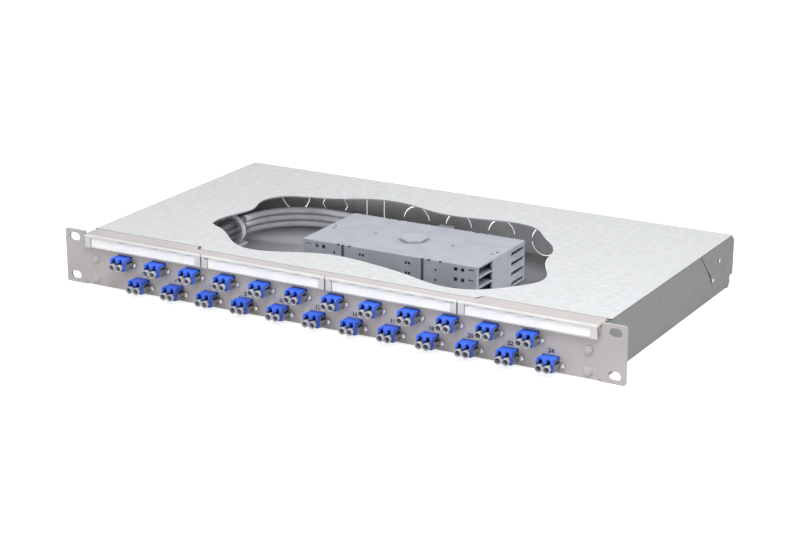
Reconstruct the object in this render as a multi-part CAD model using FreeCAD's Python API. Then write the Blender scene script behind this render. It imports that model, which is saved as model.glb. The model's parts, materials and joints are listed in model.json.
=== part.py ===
import FreeCAD, Part
import math
import os

# Fibre patch panel for a 19 inch rack, one height unit, 24 duplex ports.
# While it is built, x runs along the panel, y runs from the face of the front plate to the rear,
# and z starts at the lower edge of the rack ears. Sizes are in millimetres and angles in degrees.

# Front plate and rack ears
panel_width = 482.6
panel_height = 43.6
panel_sheet = 2.0
ear_corner = 2.0
rack_slot_inset = 8.75
rack_slot_spacing_z = 31.75
rack_slot_length = 10.0
rack_slot_width = 6.8
ear_width = 20.3
centre_bottom = 0.8
centre_top = 42.2
ear_notch_width = 1.2
ear_notch_height = 2.0
fold_radius = 0.5

# Top flange of the front plate, with the recess for the cover's tongue
flange_depth = 13.8
flange_tongue_depth = 7.8
tongue_half_width = 118.6
tongue_slant = 3.4
tongue_slit_overrun = 0.4
tongue_slit_width = 2.2
ledge_depth = 10.0
ledge_start = 4.0
ledge_sheet = 2.0
corner_relief_radius = 1.6
corner_relief_y = 12.6

# Housing
housing_overhang = 2.1
housing_rear = 243.6
housing_sheet = 1.0
wall_top = 40.9
wall_end_y = 243.4
wall_corner = 3.0
rear_ear_y = 250.0
rear_ear_bottom = 9.3
rear_ear_bevel_z = 37.4
rear_ear_bevel_y = 245.6
rear_ear_slant = 0.6
rear_ear_fillet = 1.0
fold_length = 7.0
corner_gap = 0.4
floor_tongue_gap = 1.0
rear_ear_root_z = 2.0
rear_ear_root_y = 1.0
return_width = 17.0
return_bottom = 2.0
return_top = 37.5
rear_tab_front = 213.0
rear_tab_bottom = 20.0
rear_tab_top = 37.0

# Screws that hold the front plate to the housing
plate_screw_inset = 8.5
plate_screw_low_z = 6.0
plate_screw_high_z = 22.0
plate_screw_head_radius = 3.5
plate_screw_head_height = 1.5
plate_screw_radius = 1.9
plate_screw_length = 7.0
plate_screw_sides = 10
screw_gap = 0.15

# Blind rivets in the side walls
rivet_y = 218.0
rivet_z = 28.2
rivet_radius = 0.95
rivet_head_radius = 1.6
rivet_head_height = 0.7
rivet_tail = 0.8
rivet_sides = 8

# Cover, its window and its guides
cover_sheet = 1.0
cover_rear = 245.9
cover_front_gap = 1.4
guide_slot_width = 1.6
guide_seat_y = 205.0
guide_seat_z = 16.0
guide_notch_width = 0.8
guide_notch_height = 4.0
guide_blade_width = 1.0
guide_blade_length = 3.4
guide_head_radius = 1.7
guide_head_sheet = 0.8
guide_head_sides = 12
guide_gap = 0.3
guide_sheet = 1.2
guide_front = 197.0
guide_rear = 211.0
guide_bottom = 11.0
guide_foot = 12.0
guide_corner = 2.0

# Outline of the see-through window in the cover, clockwise from its left tip
window_points = [
    (-152, 76), (-149, 103), (-145, 121), (-151, 146), (-145, 165), (-128, 174),
    (-104, 182), (-75, 195), (-48, 198), (-10, 187), (27, 187), (62, 192),
    (79, 187), (99, 165), (117, 143), (125, 112), (139, 86), (143, 68),
    (131, 46), (108, 25), (86, 21), (50, 32), (10, 43), (-31, 46),
    (-60, 35), (-90, 29), (-116, 45), (-139, 65),
]

# Knock-outs in the rear wall, the same row mirrored about its middle
knockout_count = 10
knockout_pitch = 40.3
knockout_offset = 1.9
knockout_slit = 1.0
knockout_bridge = 3.2
round_knockout_sides = 18
round_knockout_bridges = (0, 180, 270)
cable_knockout_radius = 12.3
cable_knockout_z = 13.0
large_knockout_radius = 14.5
large_knockout_z = 19.6
hexagon_knockout_radius = 12.4
hexagon_knockout_z = 15.6
hexagon_knockout_bridges = (30, 120, 210, 300)
slot_knockout_width = 17.0
slot_knockout_bottom = 9.0
slot_knockout_top = 33.0

# Label flaps above the ports
label_count = 4
label_bottom = 31.6
label_front = -3.1
label_axis_y = -1.7
label_axis_z = 40.6
label_barrel_radius = 1.4
label_pin_radius = 0.6
label_pin_length = 0.35
label_lug_width = 0.8
label_lug_radius = 1.1
label_lug_bottom = 36.4
label_gap = 0.15
label_pin_gap = 0.05
label_pin_sides = 8
label_lug_sides = 10
label_chamfer = 0.3
label_bar_width = 5.0
label_rail_height = 1.1
label_lip_height = 0.5
label_web = 1.0
label_card = 0.8
label_card_gap = 0.1
label_scallop_width = 8.0
label_scallop_slope = 1.0
label_scallop_height = 0.6

# Duplex adaptors, in two staggered rows
adaptor_count = 24
adaptor_end_margin = 37.0
adaptor_low_z = 8.4
adaptor_row_pitch = 16.0
adaptor_width = 13.0
adaptor_height = 9.2
adaptor_front = -11.0
adaptor_rear = 12.4
adaptor_gap = 0.15
adaptor_chamfer = 0.5
adaptor_flange_width = 22.0
adaptor_flange = 1.8
port_spacing = 6.25
port_drop = 1.7
port_width = 4.8
port_headroom = 0.9
port_depth = 9.6
latch_width = 2.4
latch_height = 1.8
ferrule_bore = 2.5

# Spring clips round the adaptors
clip_sheet = 0.3
clip_flare = 0.7
clip_front = -7.0
clip_rear = -0.3
clip_top = 1.5

# Hollow dust caps in the front ports
cap_head_radius = 2.8
cap_head_front = -14.6
cap_head_gap = 0.1
cap_shank_width = 4.5
cap_shank_length = 6.0
cap_bore_radius = 1.7
cap_floor = 0.8
cap_web_width = 1.4
cap_web_height = 2.2
cap_web_inset = 0.3
cap_head_sides = 8
cap_bore_sides = 6
rear_plug_length = 7.0
rear_plug_head = 1.2

# Stack of splice trays
tray_count = 4
tray_pitch = 8.15
tray_width = 156.4
tray_depth = 81.4
tray_front = 92.0
tray_bottom = 1.0
tray_floor = 1.2
tray_wall = 1.6
tray_lid = 1.1
tray_boss_radius = 6.0
tray_corner = 1.5
tray_end_wall_front = 115.8
tray_pocket_front = 148.5
tray_pocket_rear = 168.7
tray_pocket_height = 3.6
tray_pocket_rise = 1.9
tray_pocket_z = 2.2
tray_hole = 3.0
tray_hole_drop = 4.3
tray_hole_insets = [19.3, 13.3]
tray_latch_inset = 6.0
tray_latch_width = 5.0
tray_latch_height = 0.9
tray_latch_drop = 2.2
tray_groove_x = [-41.3, 29.9]
tray_groove_width = 2.4
tray_groove_depth = 1.2
tray_mid_hole_x = [-24.4, 16.9]
tray_mid_hole_spread = 1.4
tray_mid_hole_width = 1.8
tray_mid_hole_height = 2.0
tray_mid_hole_drop = 5.4
tray_small_hole_x = [-49.0, 41.5]
tray_small_hole = 1.6
tray_small_hole_drop = 6.9
stud_hole_sides = 10
lid_edge = 0.8
lid_slot_x = [35.3, 45.4]
lid_slot_length = 2.4
lid_slot_width = 1.6
lid_oval_x = 34.9
lid_oval_length = 3.4
lid_lock_inset = 6.8
lid_lock_y = 4.2
lid_catch_inset = 5.2
lid_catch_y = 1.9
lid_catch_length = 3.0
stud_radius = 3.0
stud_gap = 0.15
stud_top_gap = 0.2
nut_flats = 19.5
nut_height = 2.0
nut_chamfer = 0.5
nut_gap = 0.1
nut_cap = 0.6
comb_width = 44.0
comb_depth = 16.0
comb_height = 4.0
comb_grooves = 4
comb_pitch = 3.4
comb_groove_width = 2.2
comb_floor = 1.2
comb_y = 112.0

# Tubes that carry the fibres round the housing, and what holds them
tube_radius = 2.8
tube_sides = 8
tube_pitch = 5.8
tube_count = 3
tube_first_z = 7.3
tube_wall_distance = 44.1
tube_rear_y = 211.0
tube_front_y = 48.0
tube_rear_bend = 52.0
tube_front_bend = 50.0
tube_rear_end_x = -6.0
tube_front_end_x = -84.0
ring_y = 137.5
ring_width = 5.0
ring_outer = 12.4
ring_inner = 10.4
ring_sides = 20
ring_mouth = 3.0
ring_foot_width = 16.0
ring_foot_length = 14.0
ring_foot_sheet = 1.4
ring_gap = 0.3
anchor_length = 12.0
anchor_wall = 1.6
anchor_overrun = 2.0
anchor_gap = 0.05
anchor_top_wall = 1.0

# Places that follow from the sizes above
plate_rear = panel_sheet
rack_slot_spacing_x = panel_width - 2 * rack_slot_inset
centre_half_width = panel_width / 2 - ear_width
plate_screw_x = centre_half_width - plate_screw_inset
label_pitch = 2 * centre_half_width / label_count
adaptor_first_x = adaptor_end_margin - centre_half_width
adaptor_pitch = -2 * adaptor_first_x / (adaptor_count - 1)
housing_half = centre_half_width + housing_overhang
housing_inner = housing_half - housing_sheet
rear_inner = housing_rear - housing_sheet
tube_x = tube_wall_distance - housing_inner
cover_top = wall_top + cover_sheet
fold_bottom = centre_top - panel_sheet - fold_radius
adaptor_high_z = adaptor_low_z + adaptor_row_pitch
flange_rear = plate_rear + adaptor_flange
port_z = -port_drop
tray_half = tray_width / 2
tray_hole_x = [tray_half - inset for inset in tray_hole_insets]
tray_latch_x = tray_half - tray_latch_inset
lid_lock_x = tray_half - lid_lock_inset
lid_catch_x = tray_half - lid_catch_inset
tray_rear = tray_front + tray_depth
tray_middle_y = tray_front + tray_depth / 2
lid_bottom = tray_bottom + tray_count * tray_pitch
lid_top = lid_bottom + tray_lid
housing_floor = housing_sheet

MIRRORED = (-1, 1)


def point(x, y, z):
    return FreeCAD.Vector(x, y, z)


def block(x_range, y_range, z_range):
    low = point(min(x_range), min(y_range), min(z_range))
    return Part.makeBox(abs(x_range[1] - x_range[0]), abs(y_range[1] - y_range[0]),
                        abs(z_range[1] - z_range[0]), low)


def drum(radius, start, direction, length):
    return Part.makeCylinder(radius, length, start, direction)


def extruded(corners, direction):
    return Part.Face(Part.makePolygon(corners + corners[:1])).extrude(direction)


def side_profile(outline, x_range):
    """A closed outline of (y, z) pairs, given thickness along x."""
    corners = [point(x_range[0], y, z) for y, z in outline]
    return extruded(corners, point(x_range[1] - x_range[0], 0, 0))


def flat_profile(outline, z_range):
    """A closed outline of (x, y) pairs, given thickness along z."""
    corners = [point(x, y, z_range[0]) for x, y in outline]
    return extruded(corners, point(0, 0, z_range[1] - z_range[0]))


def front_profile(outline, y_range):
    """A closed outline of (x, z) pairs, given thickness along y."""
    corners = [point(x, y_range[0], z) for x, z in outline]
    return extruded(corners, point(0, y_range[1] - y_range[0], 0))


def ring_points(radius, sides):
    """The corners of a regular outline round (0, 0), with a flat at the top."""
    step = 2 * math.pi / sides
    return [(radius * math.sin(step * (number + 0.5)), radius * math.cos(step * (number + 0.5)))
            for number in range(sides)]


def ring_at(radius, sides, first, second):
    """A regular outline round one spot, with its corners on a circle of this radius."""
    return [(first + across, second + up) for across, up in ring_points(radius, sides)]


def ring_round(radius, sides, first, second):
    """A regular outline that leaves a circle of this radius free."""
    return ring_at(radius / math.cos(math.pi / sides), sides, first, second)


def edges_along(shape, axis, spots, reach=0.02):
    """The straight edges that run along one axis through any of the spots in the plane across it."""
    others = [index for index in range(3) if index != axis]
    found = []
    for edge in shape.Edges:
        if len(edge.Vertexes) != 2:
            continue
        first = edge.Vertexes[0].Point
        last = edge.Vertexes[1].Point
        if any(abs(first[index] - last[index]) > reach for index in others):
            continue
        for spot in spots:
            if all(abs(first[index] - value) < reach for index, value in zip(others, spot)):
                found.append(edge)
                break
    return found


def joined(shapes):
    whole = shapes[0].fuse(shapes[1:]) if len(shapes) > 1 else shapes[0]
    return whole.removeSplitter()


def without(shape, tools):
    return shape.cut(Part.makeCompound(tools)).removeSplitter()


def folded(shape, axis, outer_spot, inner_spot, sheet):
    """A right-angled sheet corner gets its outer and inner bend radius."""
    bent = shape.makeFillet(fold_radius + sheet, edges_along(shape, axis, [outer_spot]))
    return bent.makeFillet(fold_radius, edges_along(bent, axis, [inner_spot]))


def stadium(length, width, centre, y_range):
    """A slot tool with round ends, long in x and cut through along y."""
    x, z = centre
    straight = (length - width) / 2
    depth = y_range[1] - y_range[0]
    ends = [drum(width / 2, point(x + side * straight, y_range[0], z), point(0, 1, 0), depth)
            for side in MIRRORED]
    middle = block((x - straight, x + straight), y_range, (z - width / 2, z + width / 2))
    return joined(ends + [middle])


def adaptor_places():
    """The x and z of each adaptor's middle, from the left; the odd ports sit in the upper row."""
    places = []
    for number in range(adaptor_count):
        height = adaptor_high_z if number % 2 == 0 else adaptor_low_z
        places.append((adaptor_first_x + number * adaptor_pitch, height))
    return places


def plate_screw_places():
    heights = (plate_screw_low_z, plate_screw_high_z)
    return [(side * plate_screw_x, z) for side in MIRRORED for z in heights]


def tongue_outline(front_y, tongue_y, rear_y, half_width, offset):
    """Flange and cover share this line: a tongue in the middle with slanted ends."""
    base = tongue_half_width + offset
    return [
        (-half_width, rear_y), (-half_width, front_y),
        (-base - tongue_slant, front_y), (-base, tongue_y),
        (base, tongue_y), (base + tongue_slant, front_y),
        (half_width, front_y), (half_width, rear_y),
    ]


def front_panel():
    half = panel_width / 2
    plate = block((-half, half), (0, panel_sheet), (0, panel_height))
    ear_corners = [(side * half, z) for side in MIRRORED for z in (0, panel_height)]
    plate = plate.makeFillet(ear_corner, edges_along(plate, 1, ear_corners))
    notch_edge = centre_half_width + ear_notch_width
    through = (-1, panel_sheet + 1)
    cuts = [
        block((-centre_half_width, centre_half_width), through, (-1, centre_bottom)),
        block((-notch_edge, notch_edge), through, (fold_bottom, panel_height + 1)),
    ]
    for side in MIRRORED:
        notch = (side * centre_half_width, side * notch_edge)
        cuts.append(block(notch, through, (-1, ear_notch_height)))
        slot_x = side * rack_slot_spacing_x / 2
        for z_side in MIRRORED:
            slot_z = panel_height / 2 + z_side * rack_slot_spacing_z / 2
            cuts.append(stadium(rack_slot_length, rack_slot_width, (slot_x, slot_z), through))
    for x, z in adaptor_places():
        wide = adaptor_width / 2 + adaptor_gap
        high = adaptor_height / 2 + adaptor_gap
        cuts.append(block((x - wide, x + wide), through, (z - high, z + high)))
    for x, z in plate_screw_places():
        hole_start = point(x, through[0], z)
        cuts.append(drum(plate_screw_radius + screw_gap, hole_start, point(0, 1, 0), panel_sheet + 2))
    plate = without(plate, cuts)

    width = (-centre_half_width, centre_half_width)
    bend = joined([
        block(width, (0, panel_sheet), (fold_bottom - 1, centre_top)),
        block(width, (0, flange_depth + 1), (centre_top - panel_sheet, centre_top)),
    ])
    bend = folded(bend, 0, (0, centre_top), (panel_sheet, centre_top - panel_sheet), panel_sheet)
    recess_line = tongue_outline(flange_depth, flange_tongue_depth, flange_depth + 2,
                                 centre_half_width + 1, 0)
    bend = without(bend, [flat_profile(recess_line, (fold_bottom, centre_top + 1))])
    ledge_line = tongue_outline(flange_depth + ledge_depth, flange_tongue_depth + ledge_depth,
                                ledge_start, centre_half_width, 0)
    ledge = flat_profile(ledge_line, (wall_top - ledge_sheet, wall_top))
    through = (fold_bottom - panel_sheet, centre_top + 1)
    reliefs = [drum(corner_relief_radius, point(side * centre_half_width, corner_relief_y, through[0]),
                    point(0, 0, 1), through[1] - through[0]) for side in MIRRORED]
    slit_front = flange_tongue_depth - tongue_slit_overrun
    slit_rear = flange_depth + cover_front_gap
    slits = []
    for side in MIRRORED:
        inner = tongue_half_width
        outer = tongue_half_width + tongue_slant
        line = [
            (side * inner, slit_front), (side * (inner + tongue_slit_width), slit_front),
            (side * (outer + tongue_slit_width), slit_rear), (side * outer, slit_rear),
        ]
        slits.append(flat_profile(line, through))
    top = without(joined([bend, ledge]), reliefs + slits)
    return joined([plate, top])


def guide_slot(x_range):
    """The slanted slot that the cover's guide slides in, with a thin notch under its seat."""
    half = guide_slot_width / 2
    offset = half / math.sqrt(2)
    rise = wall_top + 2 - guide_seat_z
    lane = [
        (guide_seat_y - offset, guide_seat_z - offset), (guide_seat_y + offset, guide_seat_z + offset),
        (guide_seat_y - rise + offset, guide_seat_z + rise + offset),
        (guide_seat_y - rise - offset, guide_seat_z + rise - offset),
    ]
    seat_start = point(min(x_range), guide_seat_y, guide_seat_z)
    seat = drum(half, seat_start, point(1, 0, 0), abs(x_range[1] - x_range[0]))
    notch = block(x_range, (guide_seat_y - guide_notch_width / 2, guide_seat_y + guide_notch_width / 2),
                  (guide_seat_z - guide_notch_height, guide_seat_z))
    return joined([side_profile(lane, (min(x_range), max(x_range))), seat, notch])


def knockout(x, z, radius, sides, bridge_angles):
    """A slit round a blank that can be pushed out; bridges at these angles still hold it."""
    depth = (rear_inner - 1, housing_rear + 1)
    outer = front_profile(ring_at(radius + knockout_slit / 2, sides, x, z), depth)
    inner = front_profile(ring_at(radius - knockout_slit / 2, sides, x, z), depth)
    bridges = []
    for angle in bridge_angles:
        bridge = block((x + radius / 2, x + radius * 1.5), depth,
                       (z - knockout_bridge / 2, z + knockout_bridge / 2))
        bridge.rotate(point(x, rear_inner, z), point(0, 1, 0), angle)
        bridges.append(bridge)
    return outer.cut(inner).cut(Part.makeCompound(bridges))


def rear_cuts():
    cuts = []
    depth = (rear_inner - 1, housing_rear + 1)
    last = knockout_count - 1
    for number in range(knockout_count):
        x = knockout_offset + (number - last / 2) * knockout_pitch
        place = min(number, last - number)
        if place == 0:
            cuts.append(knockout(x, large_knockout_z, large_knockout_radius, round_knockout_sides,
                                 round_knockout_bridges))
        elif place == 1:
            cuts.append(knockout(x, hexagon_knockout_z, hexagon_knockout_radius, 6,
                                 hexagon_knockout_bridges))
        elif place == 2:
            for side in MIRRORED:
                middle = x + side * slot_knockout_width / 2
                cuts.append(block((middle - knockout_slit / 2, middle + knockout_slit / 2), depth,
                                  (slot_knockout_bottom, slot_knockout_top)))
        else:
            cuts.append(knockout(x, cable_knockout_z, cable_knockout_radius, round_knockout_sides,
                                 round_knockout_bridges))
    return cuts


def base_tray():
    channel_front = plate_rear + fold_length
    channel_rear = housing_rear - fold_length
    length = (channel_front, channel_rear)
    channel = joined([
        block((-housing_half, housing_half), length, (0, housing_sheet)),
        block((-housing_half, -housing_inner), length, (0, wall_top)),
        block((housing_inner, housing_half), length, (0, wall_top)),
    ])
    for side in MIRRORED:
        channel = folded(channel, 1, (side * housing_half, 0), (side * housing_inner, housing_sheet),
                         housing_sheet)

    floor_half = housing_inner - floor_tongue_gap
    rear_half = housing_inner - corner_gap
    front_floor = block((-floor_half, floor_half), (plate_rear, channel_front), (0, housing_sheet))
    rear_wall = joined([
        block((-rear_half, rear_half), (channel_rear, housing_rear), (0, housing_sheet)),
        block((-rear_half, rear_half), (rear_inner, housing_rear), (0, wall_top)),
    ])
    rear_wall = folded(rear_wall, 0, (housing_rear, 0), (rear_inner, housing_sheet), housing_sheet)
    rear_wall = without(rear_wall, rear_cuts())
    pieces = [channel, front_floor, rear_wall]

    for side in MIRRORED:
        wall = (side * housing_inner, side * housing_half)
        outline = [
            (channel_rear, rear_ear_root_z), (channel_rear + rear_ear_root_y, 0),
            (wall_end_y - wall_corner, 0),
            (wall_end_y, wall_corner), (wall_end_y, rear_ear_bottom),
            (rear_ear_y - rear_ear_slant, rear_ear_bottom),
            (rear_ear_y, rear_ear_bevel_z), (rear_ear_bevel_y, wall_top), (channel_rear, wall_top),
        ]
        ear = side_profile(outline, wall)
        ear = ear.makeFillet(rear_ear_fillet, edges_along(ear, 0, [(wall_end_y, rear_ear_bottom)]))
        pieces.append(ear)
        front_return = joined([
            block(wall, (plate_rear, channel_front), (return_bottom, wall_top)),
            block((side * housing_half, side * (housing_half - return_width)),
                  (plate_rear, plate_rear + housing_sheet), (return_bottom, return_top)),
        ])
        front_return = folded(front_return, 2, (side * housing_half, plate_rear),
                              (side * housing_inner, plate_rear + housing_sheet), housing_sheet)
        pieces.append(front_return)
        tab_inner = rear_half - housing_sheet
        pieces.append(block((side * tab_inner, side * rear_half), (rear_tab_front, rear_inner),
                            (rear_tab_bottom, rear_tab_top)))
    tray = joined(pieces)

    cuts = []
    for side in MIRRORED:
        through = (side * (rear_half - housing_sheet - 1), side * (housing_half + 1))
        cuts.append(guide_slot(through))
        start = point(min(through), rivet_y, rivet_z)
        cuts.append(drum(rivet_radius + screw_gap, start, point(1, 0, 0), abs(through[1] - through[0])))
    for x, z in plate_screw_places():
        hole_start = point(x, plate_rear - 1, z)
        cuts.append(drum(plate_screw_radius + screw_gap, hole_start, point(0, 1, 0), housing_sheet + 2))
    cuts.append(stud_hole((-1, housing_sheet + 1)))
    return without(tray, cuts)


def window_tool():
    curve = Part.BSplineCurve()
    curve.interpolate([point(x, y, wall_top - 1) for x, y in window_points], PeriodicFlag=True)
    return Part.Face(Part.Wire(curve.toShape())).extrude(point(0, 0, cover_sheet + 2))


def cover():
    front = flange_depth + cover_front_gap
    tongue = flange_tongue_depth + cover_front_gap
    outline = tongue_outline(front, tongue, cover_rear, housing_half, 0)
    plate = flat_profile(outline, (wall_top, cover_top))
    reliefs = [drum(corner_relief_radius, point(side * centre_half_width, corner_relief_y, wall_top - 1),
                    point(0, 0, 1), cover_sheet + 2) for side in MIRRORED]
    return without(plate, reliefs + [window_tool()])


def cover_guide(side):
    """A folded bracket under the cover that hangs beside the side wall."""
    outer = housing_inner - guide_gap
    inner = outer - guide_sheet
    depth = (guide_front, guide_rear)
    bracket = joined([
        block((side * inner, side * outer), depth, (guide_bottom, wall_top)),
        block((side * outer, side * (outer - guide_foot)), depth, (wall_top - guide_sheet, wall_top)),
    ])
    bracket = folded(bracket, 1, (side * outer, wall_top), (side * inner, wall_top - guide_sheet),
                     guide_sheet)
    corners = edges_along(bracket, 0, [(guide_front, guide_bottom), (guide_rear, guide_bottom)])
    return bracket.makeFillet(guide_corner, corners)


def guide_stud(side):
    """The blade that slides in the slanted slot, with its head outside the wall."""
    start = housing_inner - guide_gap
    head_start = housing_half + guide_gap
    middle = point(0, guide_seat_y, guide_seat_z)
    half = guide_blade_width / 2
    blade = block((side * start, side * (head_start + guide_head_sheet / 2)),
                  (guide_seat_y - guide_blade_length, guide_seat_y),
                  (guide_seat_z - half, guide_seat_z + half))
    blade.rotate(middle, point(1, 0, 0), -45)
    head = side_profile(ring_at(guide_head_radius, guide_head_sides, guide_seat_y, guide_seat_z),
                        (side * head_start, side * (head_start + guide_head_sheet)))
    return joined([blade, head])


def plate_screw(x, z):
    head = front_profile(ring_at(plate_screw_head_radius, plate_screw_sides, x, z),
                         (-plate_screw_head_height, 0))
    shank = front_profile(ring_at(plate_screw_radius, plate_screw_sides, x, z),
                          (-screw_gap, plate_screw_length))
    return joined([head, shank])


def side_rivet(side):
    tail = side * (housing_inner - corner_gap - housing_sheet - rivet_tail)
    face = side * housing_half
    shank = side_profile(ring_at(rivet_radius, rivet_sides, rivet_y, rivet_z),
                         (tail, face + side * screw_gap))
    head = side_profile(ring_at(rivet_head_radius, rivet_sides, rivet_y, rivet_z),
                        (face, face + side * rivet_head_height))
    return joined([shank, head])


def label_span(number):
    """The x range between the lugs on each side of a label flap."""
    left = (number - label_count / 2) * label_pitch
    inset = [label_lug_width / 2, label_lug_width / 2]
    if number == 0:
        inset[0] = label_lug_width
    if number == label_count - 1:
        inset[1] = label_lug_width
    return (left + inset[0] + label_gap, left + label_pitch - inset[1] - label_gap)


def label_lugs():
    """Small bearings between the flaps; their bores take the flaps' pins."""
    lugs = []
    edge = label_count / 2 * label_pitch
    for number in range(label_count + 1):
        middle = (number - label_count / 2) * label_pitch
        left = min(max(middle - label_lug_width / 2, -edge), edge - label_lug_width)
        x_range = (left, left + label_lug_width)
        barrel = ring_at(label_lug_radius, label_lug_sides, label_axis_y, label_axis_z)
        lug = joined([
            block(x_range, (label_axis_y, 0), (label_lug_bottom, label_axis_z)),
            side_profile(barrel, x_range),
        ])
        bore = ring_round(label_pin_radius + label_pin_gap, label_pin_sides, label_axis_y, label_axis_z)
        lugs.append(lug.cut(side_profile(bore, (left - 1, left + label_lug_width + 1))))
    return lugs


def label_frame(number):
    """A flap with a barrel along its top edge and a pocket for the card."""
    left, right = label_span(number)
    rear = label_axis_y + label_barrel_radius
    barrel = drum(label_barrel_radius, point(left, label_axis_y, label_axis_z), point(1, 0, 0),
                  right - left)
    body = block((left, right), (label_front, rear), (label_bottom, label_axis_z))
    reach = label_gap + label_pin_length
    pins = side_profile(ring_at(label_pin_radius, label_pin_sides, label_axis_y, label_axis_z),
                        (left - reach, right + reach))
    flap = joined([barrel, body, pins])
    lower_edges = edges_along(flap, 0, [(label_front, label_bottom), (rear, label_bottom)])
    flap = flap.makeChamfer(label_chamfer, lower_edges)
    pocket_front = label_front - 1
    pocket_rear = rear - label_web
    top = label_axis_z - label_rail_height
    cuts = [block((left + label_bar_width, right - label_bar_width), (pocket_front, pocket_rear),
                  (label_bottom + label_lip_height, top))]
    for x, _ in adaptor_places():
        if left + label_bar_width < x < right - label_bar_width:
            half = label_scallop_width / 2
            flat = half - label_scallop_slope
            scallop = [(x - half, top), (x - flat, top + label_scallop_height),
                       (x + flat, top + label_scallop_height), (x + half, top)]
            cuts.append(front_profile(scallop, (pocket_front, label_axis_y)))
    return without(flap, cuts)


def label_card_piece(number):
    left, right = label_span(number)
    rear = label_axis_y + label_barrel_radius - label_web
    inset = label_bar_width + label_card_gap
    return block((left + inset, right - inset), (rear - label_card, rear),
                 (label_bottom + label_lip_height + label_card_gap,
                  label_axis_z - label_rail_height - label_card_gap))


def adaptor(x, z):
    """Body with its flange, four ports, the front ones' latch channels and the ferrule bores."""
    half_width = adaptor_width / 2
    half_height = adaptor_height / 2
    body = block((-half_width, half_width), (adaptor_front, adaptor_rear), (-half_height, half_height))
    corners = [(side * half_width, half_height) for side in MIRRORED]
    body = body.makeChamfer(adaptor_chamfer, edges_along(body, 1, corners))
    flange = block((-adaptor_flange_width / 2, adaptor_flange_width / 2), (plate_rear, flange_rear),
                   (-half_height, half_height))
    cuts = []
    half = port_width / 2
    neck = latch_width / 2
    ceiling = half + port_headroom
    port = [(-half, -half), (half, -half), (half, ceiling), (neck, ceiling),
            (neck, ceiling + latch_height), (-neck, ceiling + latch_height), (-neck, ceiling),
            (-half, ceiling)]
    for side in MIRRORED:
        middle = side * port_spacing / 2
        outline = [(middle + across, port_z + up) for across, up in port]
        cuts.append(front_profile(outline, (adaptor_front - 1, adaptor_front + port_depth)))
        cuts.append(block((middle - half, middle + half), (adaptor_rear + 1, adaptor_rear - port_depth),
                          (port_z - half, port_z + half)))
        cuts.append(block((middle - ferrule_bore / 2, middle + ferrule_bore / 2),
                          (adaptor_front, adaptor_rear),
                          (port_z - ferrule_bore / 2, port_z + ferrule_bore / 2)))
    whole = without(joined([body, flange]), cuts)
    whole.translate(point(x, 0, z))
    return whole


def adaptor_clip(x, z):
    """A sheet metal band under the body; its sides stand up and spring outwards at the top."""
    seat = adaptor_width / 2
    outer = seat + clip_sheet
    under = -adaptor_height / 2
    band = [
        (-outer, under - clip_sheet), (outer, under - clip_sheet), (outer, 0),
        (outer + clip_flare, clip_top), (seat + clip_flare, clip_top), (seat, 0), (seat, under),
    ]
    mirrored_side = [(-across, up) for across, up in reversed(band[2:])]
    whole = front_profile(band + mirrored_side, (clip_front, clip_rear))
    whole.translate(point(x, 0, z))
    return whole


def dust_cap(x, z):
    """Two hollow plugs joined by a web, pushed into both ports of one adaptor."""
    head_rear = adaptor_front - cap_head_gap
    shank_rear = head_rear + cap_shank_length
    half = cap_shank_width / 2
    plugs = []
    for side in MIRRORED:
        middle = side * port_spacing / 2
        head = ring_at(cap_head_radius, cap_head_sides, middle, port_z)
        bore = ring_at(cap_bore_radius, cap_bore_sides, middle, port_z)
        plug = joined([
            front_profile(head, (cap_head_front, head_rear)),
            block((middle - half, middle + half), (head_rear, shank_rear),
                  (port_z - half, port_z + half)),
        ])
        plugs.append(plug.cut(front_profile(bore, (cap_head_front - 1, shank_rear - cap_floor))))
    web = block((-cap_web_width / 2, cap_web_width / 2),
                (cap_head_front + cap_web_inset, head_rear - cap_web_inset),
                (port_z - cap_web_height / 2, port_z + cap_web_height / 2))
    whole = joined(plugs + [web])
    whole.translate(point(x, 0, z))
    return whole


def rear_plugs(x, z):
    """Plain square plugs that close the two rear ports of one adaptor."""
    half = cap_shank_width / 2
    plugs = []
    for side in MIRRORED:
        middle = x + side * port_spacing / 2
        plugs.append(block((middle - half, middle + half),
                           (adaptor_rear - rear_plug_length, adaptor_rear + rear_plug_head),
                           (z + port_z - half, z + port_z + half)))
    return plugs


def cornered(slab):
    """The cassette's slabs have the same four bevelled corners."""
    corners = [(side * tray_half, y) for side in MIRRORED for y in (tray_front, tray_rear)]
    return slab.makeChamfer(tray_corner, edges_along(slab, 2, corners))


def stud_hole(z_range):
    return flat_profile(ring_round(stud_radius + stud_gap, stud_hole_sides, 0, tray_middle_y), z_range)


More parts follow.
